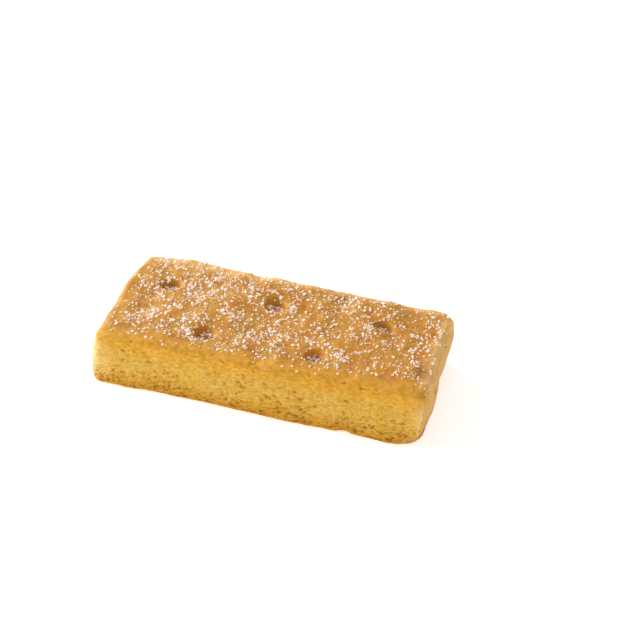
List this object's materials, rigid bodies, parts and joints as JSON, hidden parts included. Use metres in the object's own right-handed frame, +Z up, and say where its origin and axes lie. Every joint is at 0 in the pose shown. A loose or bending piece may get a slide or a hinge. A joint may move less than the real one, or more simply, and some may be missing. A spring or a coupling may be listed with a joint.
{
  "type": "shortbread biscuit",
  "caption": "Thick shortbread finger with a soft golden crust, staggered dock holes, crumbly cut sides and a scatter of coarse sugar on top.",
  "frame": {"origin": "middle of the flat base, on the surface that the biscuit rests on", "axes": "+X along the finger's length, +Y across it towards the back long side, +Z up out of the docked and sugared top"},
  "size_m": [0.0822, 0.0386, 0.0155],
  "materials": {
    "shortbread": "matte",
    "sugar": "satin"
  },
  "bodies": {
    "root": {"shortbread_finger": "shortbread"}
  },
  "joints": []
}
